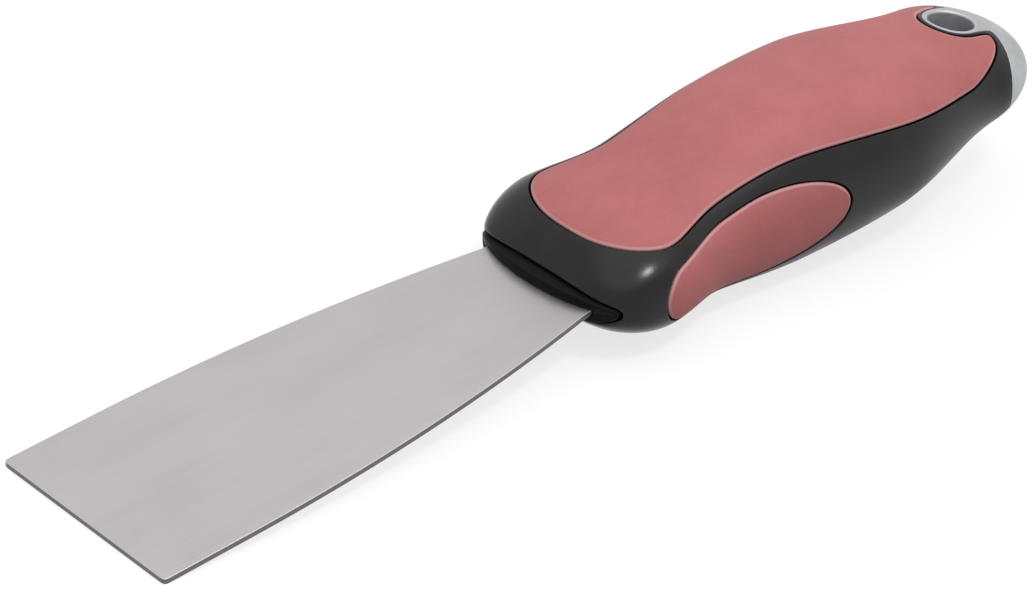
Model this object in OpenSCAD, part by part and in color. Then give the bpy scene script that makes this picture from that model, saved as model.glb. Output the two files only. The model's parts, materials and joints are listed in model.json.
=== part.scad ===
// Putty knife: a flat steel blade in a moulded grip with soft pads and a metal butt cap.
// Sizes are in millimetres. The tool lies along X, with the blade towards -X and its flats level.
// Places along the handle are distances from its nose, where the blade comes out.

/* [Blade] */
// Width of the blade at its working edge
blade_w = 38.1; // [32:0.1:44]
// Length of blade that shows in front of the handle
blade_len = 89.5; // [75:0.5:110]
// Thickness of the blade and its tang
blade_t = 1; // [0.6:0.1:1.4]
// Length behind the working edge over which the blade's sides are parallel
blade_land = 15.5; // [8:0.5:30]
// Width of the blade where it enters the handle
neck_w = 24.2; // [20:0.2:27]
// Length of the blade's neck inside the handle
neck_len = 7; // [5:0.5:10]
// Width of the tang
tang_w = 13; // [10:0.5:16]

/* [Handle] */
// Length of the handle, from the nose to the butt
handle_len = 109; // [104:1:120]
// Width of the nose, at its widest
nose_w = 38.2; // [36:0.2:40]
// Thickness of the nose, at the end of its rounded front
nose_t = 18.6; // [17:0.2:21]
// Length of the nose's rounded front
nose_len = 13.5; // [12:0.5:15]
// Width of the nose's front edge
nose_edge_w = 18.5; // [16:0.5:22]
// Thickness of the nose's front edge
nose_edge_t = 2.2; // [1.6:0.2:4]
// Width of the waist
waist_w = 33; // [32:0.2:35]
// Distance of the waist from the nose
waist_at = 28; // [25:0.5:32]
// Width of the palm swell
palm_w = 37.2; // [35:0.2:40]
// Distance of the palm swell from the nose
palm_at = 67.5; // [60:0.5:70]
// Thickness of the belly, where the handle is thickest
belly_t = 28.4; // [27:0.2:31]
// Distance of the belly from the nose
belly_at = 47.5; // [44:0.5:56]
// Radius of the rounded butt, seen from above
butt_r = 14.4; // [13.6:0.2:15.6]
// Thickness of the handle where the rounded butt starts
butt_t = 18.6; // [17.4:0.2:20]
// Thickness that the handle loses per millimetre of length where the rounded butt starts
butt_taper = 0.34; // [0.2:0.02:0.4]
// Squareness of the nose's cross-section, where 2 is an ellipse
nose_section_power = 2.7; // [2.4:0.1:3.2]
// Squareness of the cross-section from the waist to the palm swell, where 2 is an ellipse
grip_section_power = 2.5; // [2.2:0.1:2.8]
// Squareness of the butt's cross-section and side profile, where 2 is an ellipse
butt_power = 2.1; // [2:0.1:2.6]

/* [Grip] */
// Wall of the grip shell around the core
shell_wall = 3.2; // [2.8:0.1:3.6]
// Thickness of the soft pads
pad_t = 2; // [1.4:0.1:2.4]
// Gap of the fine groove around a pad
pad_groove = 0.3; // [0.1:0.05:0.5]
// Distance of the upper and lower pads' front edge from the nose
pad_front = 6.6; // [5:0.2:8]
// Length of the rounded front of the upper and lower pads
pad_round = 12; // [9:0.5:14]
// Length of the rounded rear of the upper and lower pads
pad_round_rear = 16.4; // [14:0.2:18]
// Distance of that rounded rear's end from the butt, if the rim and the eye weren't there
pad_end = 6.2; // [5.4:0.2:7.2]
// Inset of the upper and lower pads from the handle's side, from the nose to the waist
pad_inset_front = 4.2; // [3.8:0.1:5]
// Inset of the upper and lower pads from the handle's side, at the butt
pad_inset_rear = 1.5; // [0.8:0.1:2]
// Radius of the rear corners of the upper and lower pads
pad_corner_r = 1.2; // [0.8:0.2:1.6]
// Distance of a side pad's front from the nose
side_front = 11; // [10:0.2:13]
// Length of a side pad
side_len = 42.4; // [36:0.2:45]
// Height of a side pad
side_h = 15; // [13:0.2:16]
// Height of a side pad's blunt front end
side_front_h = 10; // [8:0.2:11.6]
// Length of a side pad's pointed tail, behind its highest place
side_tail = 16.4; // [10:0.2:18]

/* [Mouth] */
// Width of the core's nose, which fills the mouth around the blade
mouth_w = 31.2; // [29:0.2:32]
// Thickness of the core's nose
mouth_t = 4.8; // [4.4:0.2:6.4]
// Distance by which the core's nose stands out of the handle's nose
mouth_out = 1.3; // [0.8:0.1:1.6]
// Depth of the oval that the front of the core's nose follows, seen from above
mouth_bow = 6.5; // [5:0.1:8]
// Width of that oval
mouth_bow_w = 33; // [32.4:0.2:36]
// Squareness of the core's nose, seen from the front, where 2 is an ellipse
mouth_power = 2.5; // [2.2:0.1:3.2]
// Gap of the groove around the core's nose
mouth_gap = 0.3; // [0.15:0.05:0.4]

/* [Butt cap] */
// Diameter of the hang hole
hole_d = 8; // [6:0.2:9]
// Distance of the hang hole's centre from the butt
hole_from_butt = 13; // [12:0.2:13.6]
// Wall of the eye around the hang hole
eye_wall = 1; // [0.9:0.1:1.4]
// Width of the grip shell's rim between a pad and the eye
eye_rim = 0.9; // [0.8:0.1:1.3]
// Width by which the hang hole flares at its two rims
hole_flare = 0.4; // [0.2:0.1:0.5]
// Length of the cap on the centre line, behind the grip shell
cap_len = 7.6; // [6.8:0.2:8.4]
// Radius of the curved joint between the cap and the grip shell, seen from above
cap_arc_r = 23; // [21:1:28]
// Width of the grip shell's rim between a pad and the cap
cap_rim = 1.2; // [1:0.1:2]
// Width of the fork that holds the tang
fork_w = 12; // [10:0.5:13]
// Thickness of the fork
fork_t = 6.6; // [5:0.2:7.4]
// Length of the fork in front of the eye
fork_len = 14; // [11:0.5:18]
// Depth of the slot in the fork that the tang fills
tang_slot = 10.5; // [9:0.5:11]
// Distance of the cap's pin from the fork's front end
pin_inset = 5.6; // [4:0.2:6.4]

/* [Fasteners and fits] */
// Diameter of the core rivets
rivet_d = 4; // [3:0.2:5]
// Diameter of the rivets' heads
rivet_head_d = 7.5; // [6.4:0.1:9]
// Thickness of the rivets' heads
rivet_head_t = 1.2; // [0.8:0.1:1.6]
// Depth of the rivets' heads below the core's surface
rivet_sink = 0.8; // [0.6:0.1:1.2]
// Distance of the front rivet from the nose
rivet_front_at = 28; // [22:1:34]
// Distance of the rear rivet from the nose
rivet_rear_at = 56; // [48:1:64]
// Diameter of the cap's pin
pin_d = 3; // [2:0.2:4]
// Clearance between pieces that are moulded or fitted together
fit_gap = 0.1; // [0.05:0.05:0.2]

/* [Hidden] */

steel_colour = [0.76, 0.74, 0.75];
black_colour = [0.09, 0.09, 0.10];
core_colour = [0.14, 0.14, 0.15];
red_colour = [0.74, 0.45, 0.45];
cap_colour = [0.74, 0.75, 0.76];

// Facets of a cross-section and of a round cut, and steps along the stretches of the handle
section_sides = 40;
round_sides = 48;
end_steps = 7;
front_steps = 10;
rear_steps = 11;
// Power of the nose's side profile and of the pads' front: 2 is an ellipse, and less is more pointed
nose_tip_power = 1.6;
pad_power = 2.7;
// Turn of the rounded butt, seen from above, from its widest place to the small flat at its end
butt_turn = 88;
// A length that reaches past every piece, and the overlap of a cut past a face
reach = 3 * handle_len;
overcut = 0.5;

// Where the round butt starts, the hang hole's centre, the eye's radius and the joint arc's centre
heel_at = handle_len - butt_r;
hole_at = handle_len - hole_from_butt;
eye_r = hole_d / 2 + eye_wall;
cap_arc_at = handle_len - cap_len - cap_arc_r;
// The rear end of the upper and lower pads on the centre line, if the eye weren't there
pad_rear = handle_len - pad_end;
// The core's two ends inside the shell, and where the pads' inset stops narrowing
core_front = nose_len / 2;
core_rear = heel_at - shell_wall;
pad_taper_end = core_rear - pad_t;
// The fork's front end, the pin's place and the tang's rear end
fork_front = hole_at - eye_r - fork_len;
pin_at = fork_front + pin_inset;
tang_end = fork_front + tang_slot;
// Radius of the blade's curved sides, which are tangent to its parallel sides
side_run = blade_len - blade_land;
side_drop = (blade_w - neck_w) / 2;
blade_side_r = (side_run * side_run + side_drop * side_drop) / (2 * side_drop);
// The origin lies under the middle of the tool's length, at the height of the belly
middle_at = (handle_len - blade_len) / 2;
belly_z = belly_t / 2;

// A smooth step from one value to another between two places
function ease(t) = t * t * (3 - 2 * t);
function blend(s, from, a, to, b) = a + (b - a) * ease(min(max((s - from) / (to - from), 0), 1));
// The same, but still falling at its end by the given loss per millimetre
function blend_falling(s, from, a, to, b, loss) =
    let (t = (s - from) / (to - from)) a + (b - a) * ease(t) + loss * (to - from) * t * t * (1 - t);

// A rounded end: 0 at the tip of the end and 1 where it joins the body
function round_end(t, power) = pow(max(1 - pow(1 - t, power), 0), 1 / power);

// Half the handle's width and thickness at a distance from the nose
function half_width(s) =
    s < nose_len ? (nose_edge_w + (nose_w - nose_edge_w) * round_end(s / nose_len, 2)) / 2 :
    s < waist_at ? blend(s, nose_len, nose_w, waist_at, waist_w) / 2 :
    s < palm_at ? blend(s, waist_at, waist_w, palm_at, palm_w) / 2 :
    s < heel_at ? blend(s, palm_at, palm_w, heel_at, 2 * butt_r) / 2 :
    sqrt(max(butt_r * butt_r - pow(s - heel_at, 2), 0));
function half_thickness(s) =
    s < nose_len ? (nose_edge_t + (nose_t - nose_edge_t) * round_end(s / nose_len, nose_tip_power)) / 2 :
    s < belly_at ? blend(s, nose_len, nose_t, belly_at, belly_t) / 2 :
    s < heel_at ? blend_falling(s, belly_at, belly_t, heel_at, butt_t, butt_taper) / 2 :
    (butt_t - butt_taper * (s - heel_at)) / 2 * round_end(1 - (s - heel_at) / butt_r, butt_power);

// Squareness of the cross-section at a distance from the nose
function section_power(s) =
    blend(s, nose_len, nose_section_power, waist_at, grip_section_power)
    + blend(s, palm_at, 0, heel_at, butt_power - grip_section_power);

// A point of a squared oval with the given half sizes
function oval_power(v, power) = sign(v) * pow(abs(v), 2 / power);
function oval(a, half_a, half_b, power) =
    [half_a * oval_power(cos(a), power), half_b * oval_power(sin(a), power)];

// Places of the cross-sections between two places: closer together in the rounded ends
function stations(from, to) = [
    for (s = concat(
        [for (i = [0:end_steps]) nose_len * (1 - cos(90 * i / end_steps))],
        [for (i = [1:front_steps]) nose_len + (belly_at - nose_len) * i / front_steps],
        [for (i = [1:rear_steps]) belly_at + (heel_at - belly_at) * i / rear_steps],
        [for (i = [1:end_steps - 1]) heel_at + butt_r * sin(90 * i / end_steps)]
    )) if (s > from + overcut / 5 && s < to - overcut / 5) s
];

// Half the width of an upper or lower pad
function pad_half(s) =
    (half_width(s) - blend(s, waist_at, pad_inset_front, pad_taper_end, pad_inset_rear))
    * round_end(min(max((s - pad_front) / pad_round, 0), 1), pad_power)
    * round_end(min(max((pad_rear - s) / pad_round_rear, 0), 1), 2);

// Half the thickness of the core on its centre line
function core_half(s) = half_thickness(s) - shell_wall - fit_gap;

// The tool's own place: on its belly, with the middle of its length over the origin
module placed() {
    translate([-middle_at, 0, belly_z]) children();
}

// Points of one cross-section of the handle, made narrower and thinner on each side
function section_points(s, narrower = 0, thinner = 0) = [
    for (k = [0:section_sides - 1])
        let (
            a = 360 * k / section_sides,
            p = oval(a, half_width(s) - narrower, half_thickness(s) - thinner, section_power(s))
        ) [s, p[0], p[1]]
];

// One flat cross-section of the handle
module section(s, narrower, thinner) {
    polyhedron(section_points(s, narrower, thinner), [[for (k = [0:section_sides - 1]) k]]);
}

// The handle's body between two places, made narrower and thinner on each side
module body(from, to, narrower = 0, thinner = 0) {
    places = concat([from], stations(from, to), [to]);
    for (i = [0:len(places) - 2])
        hull() {
            section(places[i], narrower, thinner);
            section(places[i + 1], narrower, thinner);
        }
}

// The handle's rear, from a place in front of the heel to the butt, as one skin over its cross-sections
module rear_body(from) {
    steps = 2 * end_steps;
    places = concat([from], [for (i = [0:steps]) heel_at + butt_r * sin(butt_turn * i / steps)]);
    last = len(places) - 1;
    points = [for (s = places) each section_points(s)];
    front_face = [for (k = [0:section_sides - 1]) k];
    rear_face = [for (k = [section_sides - 1:-1:0]) last * section_sides + k];
    skin = [
        for (i = [0:last - 1], k = [0:section_sides - 1])
            let (
                a = i * section_sides + k,
                b = i * section_sides + (k + 1) % section_sides,
                c = b + section_sides,
                d = a + section_sides
            ) each [[a, d, c], [a, c, b]]
    ];
    polyhedron(points, concat([front_face, rear_face], skin));
}

// A tall round post at a place on the centre line
module post(s, r) {
    translate([s, 0, 0]) cylinder(r = r, h = reach, center = true, $fn = round_sides);
}

// Plan of the eye around the hang hole and its neck to the cap, grown by a margin
module eye_plan(grow = 0) {
    translate([hole_at, 0]) circle(r = eye_r + grow, $fn = round_sides);
    translate([hole_at, -eye_r - grow]) square([hole_from_butt, 2 * (eye_r + grow)]);
}

// Plan of what lies in front of the curved joint and the eye, kept back from each of them
module ahead_plan(from_joint, from_eye) {
    difference() {
        union() {
            translate([cap_arc_at, 0]) circle(r = cap_arc_r - from_joint, $fn = 4 * round_sides);
            translate([cap_arc_at - reach, -reach / 2]) square(reach);
        }
        eye_plan(from_eye);
    }
}

// Outline of an upper or lower pad, seen from above, grown by a margin
module pad_outline(grow) {
    steps = front_steps + rear_steps + end_steps;
    places = [for (i = [0:steps]) pad_front + (pad_rear - pad_front) * (1 - cos(180 * i / steps)) / 2];
    near_edge = [for (i = [0:steps]) [places[i], -pad_half(places[i])]];
    far_edge = [for (i = [steps - 1:-1:1]) [places[i], pad_half(places[i])]];
    offset(delta = grow) offset(r = pad_corner_r, $fn = round_sides) offset(delta = -pad_corner_r)
        intersection() {
            polygon(concat(near_edge, far_edge));
            ahead_plan(cap_rim, eye_rim);
        }
}

// Outline of a side pad, seen from the side, grown by a margin
module side_outline(grow) {
    hull() {
        translate([side_front + side_front_h / 2, 0])
            circle(d = side_front_h + 2 * grow, $fn = round_sides);
        translate([side_front + side_len - side_tail, 0])
            scale([(side_tail + grow) / (side_h / 2 + grow), 1])
                circle(d = side_h + 2 * grow, $fn = round_sides);
    }
}

// The space of the upper pad, open above, with its outline and depth grown by margins
module upper_space(grow = 0, deeper = 0) {
    difference() {
        linear_extrude(height = belly_t) pad_outline(grow);
        body(nose_len / 4, handle_len - cap_len + overcut, 0, pad_t + deeper);
    }
}

// The space of the left pad, open to its side, with its outline and depth grown by margins
module left_space(grow = 0, deeper = 0) {
    difference() {
        rotate([90, 0, 0]) linear_extrude(height = palm_w) side_outline(grow);
        body(nose_len / 4, heel_at, pad_t + deeper, 0);
    }
}

// The upper pad and the left pad in the handle's own place
module upper_piece() {
    intersection() {
        body(0, handle_len - cap_len);
        upper_space();
    }
}
module left_piece() {
    intersection() {
        body(0, heel_at);
        left_space();
    }
}

// The oval slot that the core's nose fills, between two places, grown by a margin
module mouth_space(from, to, grow = 0) {
    outline = [
        for (k = [0:round_sides - 1])
            oval(360 * k / round_sides, mouth_w / 2 + grow, mouth_t / 2 + grow, mouth_power)
    ];
    translate([from, 0, 0]) rotate([90, 0, 90]) linear_extrude(height = to - from) polygon(outline);
}

// The fork's block in front of the eye, grown by a margin
module fork_block(grow = 0) {
    translate([fork_front - grow, -fork_w / 2 - grow, -fork_t / 2 - grow])
        cube([hole_at - fork_front + 2 * grow, fork_w + 2 * grow, fork_t + 2 * grow]);
}

// Plan of the blade with its neck and tang, before it is drilled
module blade_plan() {
    translate([-blade_len, -blade_w / 2]) square([blade_land, blade_w]);
    intersection() {
        translate([-side_run, blade_side_r - blade_w / 2]) circle(r = blade_side_r, $fn = 8 * round_sides);
        translate([-side_run, blade_w / 2 - blade_side_r]) circle(r = blade_side_r, $fn = 8 * round_sides);
        translate([-side_run, -blade_w]) square([side_run + overcut, 2 * blade_w]);
    }
    translate([-overcut, -neck_w / 2]) square([neck_len + overcut, neck_w]);
    translate([neck_len - overcut, -tang_w / 2]) square([tang_end - neck_len + overcut, tang_w]);
}

// The core as one piece around the blade, before it is split
module core_whole() {
    body(core_front, core_rear, shell_wall + fit_gap, shell_wall + fit_gap);
    intersection() {
        mouth_space(-mouth_out, core_front + overcut);
        translate([mouth_bow - mouth_out, 0, 0]) {
            scale([mouth_bow, mouth_bow_w / 2, 1])
                cylinder(r = 1, h = reach, center = true, $fn = 4 * round_sides);
            translate([0, -reach / 2, -reach / 2]) cube(reach);
        }
    }
}

// What is cut out of the core for the pieces inside it
module core_cuts() {
    linear_extrude(height = blade_t + 2 * fit_gap, center = true) offset(delta = fit_gap) blade_plan();
    for (s = [rivet_front_at, rivet_rear_at]) {
        post(s, rivet_d / 2 + fit_gap);
        for (side = [0, 1])
            mirror([0, 0, side]) translate([s, 0, core_half(s) - rivet_sink - rivet_head_t - fit_gap])
                cylinder(d = rivet_head_d + 2 * fit_gap, h = reach, $fn = round_sides);
    }
    fork_block(fit_gap);
    post(hole_at, eye_r + fit_gap);
}

// The upper half of the core, in the handle's own place
module core_half_piece() {
    intersection() {
        difference() {
            core_whole();
            core_cuts();
        }
        translate([-reach / 2, -reach / 2, fit_gap / 2]) cube(reach);
    }
}

// The steel blade and its tang in one piece, drilled for the rivets and the pin
module blade() {
    color(steel_colour) placed() difference() {
        linear_extrude(height = blade_t, center = true) blade_plan();
        for (s = [rivet_front_at, rivet_rear_at]) post(s, rivet_d / 2 + fit_gap);
        post(pin_at, pin_d / 2 + fit_gap);
    }
}

module core_upper() {
    color(core_colour) placed() core_half_piece();
}

module core_lower() {
    color(core_colour) placed() mirror([0, 0, 1]) core_half_piece();
}

// Two rivets that clamp the core's halves onto the tang
module core_rivets() {
    color(steel_colour) placed() for (s = [rivet_front_at, rivet_rear_at]) {
        head_z = core_half(s) - rivet_sink;
        translate([s, 0, 0]) cylinder(d = rivet_d, h = 2 * head_z, center = true, $fn = round_sides);
        for (side = [0, 1])
            mirror([0, 0, side]) translate([s, 0, head_z - rivet_head_t])
                cylinder(d = rivet_head_d, h = rivet_head_t, $fn = round_sides);
    }
}

// The shell over the core, with pockets for the pads, the mouth and the joint with the cap
module grip_shell() {
    color(black_colour) placed() difference() {
        intersection() {
            body(0, handle_len - cap_len + overcut);
            linear_extrude(height = 2 * belly_t, center = true) ahead_plan(fit_gap, fit_gap);
        }
        body(core_front, core_rear + fit_gap, shell_wall, shell_wall);
        mouth_space(-reach / 2, core_front + overcut, mouth_gap);
        fork_block(fit_gap);
        for (side = [0, 1]) {
            mirror([0, 0, side]) upper_space(pad_groove, fit_gap);
            mirror([0, side, 0]) left_space(pad_groove, fit_gap);
        }
    }
}

module upper_pad() {
    color(red_colour) placed() upper_piece();
}

module lower_pad() {
    color(red_colour) placed() mirror([0, 0, 1]) upper_piece();
}

module left_pad() {
    color(red_colour) placed() left_piece();
}

module right_pad() {
    color(red_colour) placed() mirror([0, 1, 0]) left_piece();
}

// The metal cap: the round butt, an eye around the hang hole and a fork for the tang
module butt_cap() {
    flare_from = half_thickness(hole_at) - 2 * hole_flare;
    color(cap_colour) placed() difference() {
        union() {
            difference() {
                rear_body(hole_at - eye_r - overcut);
                difference() {
                    translate([cap_arc_at, 0, 0])
                        cylinder(r = cap_arc_r, h = reach, center = true, $fn = 4 * round_sides);
                    linear_extrude(height = 2 * reach, center = true) eye_plan();
                }
            }
            fork_block();
        }
        post(hole_at, hole_d / 2);
        for (side = [0, 1])
            mirror([0, 0, side]) translate([hole_at, 0, flare_from])
                cylinder(r1 = hole_d / 2, r2 = hole_d / 2 + 2 * hole_flare, h = 4 * hole_flare, $fn = round_sides);
        post(pin_at, pin_d / 2 + fit_gap);
        translate([fork_front - overcut, -fork_w, -blade_t / 2 - fit_gap])
            cube([tang_end - fork_front + overcut + fit_gap, 2 * fork_w, blade_t + 2 * fit_gap]);
    }
}

// The pin that holds the tang in the fork
module cap_pin() {
    color(steel_colour) placed() translate([pin_at, 0, 0])
        cylinder(d = pin_d, h = fork_t, center = true, $fn = round_sides);
}

blade();
core_upper();
core_lower();
core_rivets();
grip_shell();
upper_pad();
lower_pad();
left_pad();
right_pad();
butt_cap();
cap_pin();
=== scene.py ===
"""Looks of a putty knife: smooth moulded skins, finishes, a pale table, soft light and the camera.

Shapes are worked out in millimetres in the handle's own frame: s runs from the nose to the butt, y to the
left and z up from the blade's middle plane. They are put into the part's frame when a mesh is built.
"""

import json
import math

import bmesh
import bpy
import numpy as np
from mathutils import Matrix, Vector
from mathutils.geometry import delaunay_2d_cdt


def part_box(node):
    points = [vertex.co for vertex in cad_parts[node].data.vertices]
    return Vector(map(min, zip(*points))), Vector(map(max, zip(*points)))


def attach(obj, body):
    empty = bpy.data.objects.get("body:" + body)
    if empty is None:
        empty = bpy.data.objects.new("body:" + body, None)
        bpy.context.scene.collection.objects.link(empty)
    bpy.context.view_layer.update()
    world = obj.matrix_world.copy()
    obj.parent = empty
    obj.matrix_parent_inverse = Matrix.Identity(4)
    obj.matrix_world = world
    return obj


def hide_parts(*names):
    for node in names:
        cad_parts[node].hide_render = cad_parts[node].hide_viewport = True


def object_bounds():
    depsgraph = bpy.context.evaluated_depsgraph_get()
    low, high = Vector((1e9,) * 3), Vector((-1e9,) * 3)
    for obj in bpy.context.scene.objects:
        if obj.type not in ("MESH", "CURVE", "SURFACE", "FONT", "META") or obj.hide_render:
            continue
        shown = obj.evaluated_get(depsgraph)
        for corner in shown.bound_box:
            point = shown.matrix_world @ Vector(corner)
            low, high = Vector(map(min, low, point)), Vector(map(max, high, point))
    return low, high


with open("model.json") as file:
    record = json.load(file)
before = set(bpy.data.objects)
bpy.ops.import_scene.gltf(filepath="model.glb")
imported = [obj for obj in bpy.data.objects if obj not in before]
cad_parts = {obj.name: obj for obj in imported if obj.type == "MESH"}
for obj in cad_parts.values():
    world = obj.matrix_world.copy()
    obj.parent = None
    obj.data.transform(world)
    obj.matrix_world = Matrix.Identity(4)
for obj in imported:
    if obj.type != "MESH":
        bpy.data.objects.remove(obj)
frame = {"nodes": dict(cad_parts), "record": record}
cad_low, cad_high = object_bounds()

# One millimetre in metres
MM = 0.001

# Sizes of the handle's outside, as in the part
NOSE_W = 38.2
NOSE_T = 18.6
NOSE_LEN = 13.5
NOSE_EDGE_W = 18.5
NOSE_EDGE_T = 2.2
WAIST_W = 33.0
WAIST_AT = 28.0
PALM_W = 37.2
PALM_AT = 67.5
BELLY_AT = 47.5
BUTT_R = 14.4
BUTT_T = 18.6
BUTT_TAPER = 0.34
NOSE_POWER = 2.7
GRIP_POWER = 2.5
BUTT_POWER = 2.1
NOSE_TIP_POWER = 1.6

# Sizes of the shell, the pads and the mouth, as in the part
SHELL_WALL = 3.2
PAD_T = 2.0
PAD_GROOVE = 0.3
PAD_ROUND = 12.0
PAD_ROUND_REAR = 16.4
PAD_END = 6.2
PAD_INSET_FRONT = 4.2
PAD_INSET_REAR = 1.5
PAD_POWER = 2.7
SIDE_FRONT_H = 10.0
SIDE_TAIL = 16.4
MOUTH_W = 31.2
MOUTH_T = 4.8
MOUTH_OUT = 1.3
MOUTH_BOW = 6.5
MOUTH_BOW_W = 33.0
MOUTH_POWER = 2.5
MOUTH_GAP = 0.3
CORE_FRONT = 6.75

# Sizes of the blade, the cap and the fits, as in the part
BLADE_LAND = 15.5
NECK_W = 24.2
NECK_LEN = 7.0
TANG_W = 13.0
EYE_WALL = 1.0
EYE_RIM = 0.9
CAP_LEN = 7.6
CAP_ARC_R = 23.0
CAP_RIM = 1.2
FORK_W = 12.0
FORK_T = 6.6
FORK_LEN = 14.0
PIN_INSET = 5.6
PIN_D = 3.0
RIVETS_AT = (28.0, 56.0)
RIVET_D = 4.0
RIVET_HEAD_D = 7.5
RIVET_HEAD_T = 1.2
RIVET_SINK = 0.8
FIT = 0.1
# How far a cut reaches past a face
OVERLAP = 0.5

# Radii of the rounded edges, and how far the corners of outlines are softened
PAD_EDGE = 0.6
SHELL_EDGE = 0.2
MOUTH_EDGE = 0.9
CORE_EDGE = 0.35
JOINT_EDGE = 0.15
HOLE_EDGE = 0.75
BLADE_EDGE = 0.16
TIP_SOFTEN = 0.55
PAD_SOFTEN = 0.8
SIDE_SOFTEN = 0.5
JOINT_SOFTEN = 0.55

# Spacing of the points on curved skins and on flat or hidden ones, and the steps over a rounded edge
SKIN = 0.7
PLATE = 1.2
EDGE_STEPS = 6
# Points on a formula's line before it is spaced evenly, and the steps of a search by halving
FINE = 3000
HALVINGS = 40
# Distance from a mirror plane within which a point belongs on it, distance within which points are one,
# and a length that is as good as none
SNAP = 0.01
WELD = 0.002
TINY = 1e-9
# Axes across the part and up
ACROSS = 1
UP = 2

# The photograph's width in pixels, and the camera that was fitted to it, in millimetres and degrees
PHOTO_W = 1035
SENSOR = 36.0
FOCAL_PIXELS = 4034.0
CAMERA_AZIMUTH = -42.64
CAMERA_ELEVATION = 35.23
CAMERA_DISTANCE = 632.5
CAMERA_AIM_X = -13.85
AIM_RIGHT = 0.31
AIM_UP = -1.16

# Light: strength of the room, extra white of the table, and the lamps with their way from the tool, their
# distance and size in metres, and their watts
ROOM_LIGHT = 0.66
TABLE_GLOW = 0.75
LAMPS = (
    ("key_lamp", (0.02, -0.16, 0.98), 0.9, 1.3, 2.8),
    ("side_lamp", (0.055, -0.416, 0.907), 0.8, 0.14, 1.8),
)


def node_box(node):
    """Lowest and highest corner of a CAD node, in millimetres."""
    low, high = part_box(node)
    return np.array(low) / MM, np.array(high) / MM


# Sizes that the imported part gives
blade_low, blade_high = node_box("blade")
core_low = node_box("core_upper")[0]
upper_low = node_box("upper_pad")[0]
side_low, side_high = node_box("left_pad")
cap_high = node_box("butt_cap")[1]
hole = frame["record"]["mounts"][0]

NOSE_X = core_low[0] + MOUTH_OUT
MID_Z = (blade_low[2] + blade_high[2]) / 2
HANDLE_LEN = cap_high[0] - NOSE_X
BELLY_T = (cad_high.z - cad_low.z) / MM
BLADE_W = blade_high[1] - blade_low[1]
BLADE_T = blade_high[2] - blade_low[2]
BLADE_LEN = NOSE_X - blade_low[0]
TANG_END = blade_high[0] - NOSE_X
PAD_FRONT = upper_low[0] - NOSE_X
SIDE_FRONT = side_low[0] - NOSE_X
SIDE_LEN = side_high[0] - side_low[0]
SIDE_H = side_high[2] - side_low[2]
HOLE_AT = hole["pos_m"][0] / MM - NOSE_X
HOLE_R = hole["dims"]["r_mm"]

# Places that follow from the sizes
HEEL_AT = HANDLE_LEN - BUTT_R
CAP_ARC_AT = HANDLE_LEN - CAP_LEN - CAP_ARC_R
EYE_R = HOLE_R + EYE_WALL
PAD_REAR = HANDLE_LEN - PAD_END
CORE_REAR = HEEL_AT - SHELL_WALL
PAD_TAPER_END = CORE_REAR - PAD_T
FORK_FRONT = HOLE_AT - EYE_R - FORK_LEN
PIN_AT = FORK_FRONT + PIN_INSET
# Length of the nose's front along its curve, radius that turns angles round the handle into flat lengths,
# and the flat length from the side to the top
NOSE_RUN = NOSE_LEN * math.pi / 2
TURN_R = 15.0
TOP = TURN_R * math.pi / 2


# Formulas of the handle's outside

def ease(t):
    """A smooth step from 0 to 1."""
    t = np.clip(t, 0, 1)
    return t * t * (3 - 2 * t)


def blend(s, start, a, end, b):
    """A smooth step from a to b between two places."""
    return a + (b - a) * ease((s - start) / (end - start))


def round_end(t, power):
    """A rounded end: 0 at its tip and 1 where it joins the body."""
    t = np.clip(t, 0, 1)
    return (1 - (1 - t) ** power) ** (1 / power)


def half_width(s):
    """Half the handle's width at a distance from the nose."""
    front = NOSE_EDGE_W + (NOSE_W - NOSE_EDGE_W) * round_end(s / NOSE_LEN, 2)
    grip = blend(s, NOSE_LEN, NOSE_W, WAIST_AT, WAIST_W)
    grip = grip + blend(s, WAIST_AT, 0, PALM_AT, PALM_W - WAIST_W)
    grip = grip + blend(s, PALM_AT, 0, HEEL_AT, 2 * BUTT_R - PALM_W)
    butt = 2 * np.sqrt(np.clip(BUTT_R ** 2 - np.clip(s - HEEL_AT, 0, None) ** 2, 0, None))
    return np.where(s < NOSE_LEN, front, np.where(s < HEEL_AT, grip, butt)) / 2


def plain_half(s):
    """Half the handle's thickness at a distance from the nose, without the rounding of the butt."""
    front = NOSE_EDGE_T + (NOSE_T - NOSE_EDGE_T) * round_end(s / NOSE_LEN, NOSE_TIP_POWER)
    swell = blend(s, NOSE_LEN, NOSE_T, BELLY_AT, BELLY_T)
    run = HEEL_AT - BELLY_AT
    t = np.clip((s - BELLY_AT) / run, 0, 1)
    fall = blend(s, BELLY_AT, BELLY_T, HEEL_AT, BUTT_T) + BUTT_TAPER * run * t * t * (1 - t)
    butt = BUTT_T - BUTT_TAPER * (s - HEEL_AT)
    grip = np.where(s < BELLY_AT, swell, fall)
    return np.where(s < NOSE_LEN, front, np.where(s < HEEL_AT, grip, butt)) / 2


def into_butt(s):
    """How far a place lies in the rounded butt: 0 in front of it and 1 at its end."""
    return np.clip((s - HEEL_AT) / BUTT_R, 0, 1)


def half_thickness(s):
    """Half the handle's thickness at a distance from the nose."""
    return plain_half(s) * round_end(1 - into_butt(s), BUTT_POWER)


def rear_height(s, y):
    """Height of the upper outside near the butt, over points given by s and y."""
    across = np.clip(np.abs(y) / np.maximum(half_width(s), TINY), 0, 1)
    out = into_butt(s)
    share = np.clip(np.sqrt(across ** 2 * (1 - out ** 2) + out ** 2), 0, 1)
    power = section_power(s)
    return plain_half(s) * (1 - share ** power) ** (1 / power)


def section_power(s):
    """Squareness of the cross-section at a distance from the nose."""
    front = blend(s, NOSE_LEN, NOSE_POWER, WAIST_AT, GRIP_POWER)
    return front + blend(s, PALM_AT, 0, HEEL_AT, BUTT_POWER - GRIP_POWER)


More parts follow.
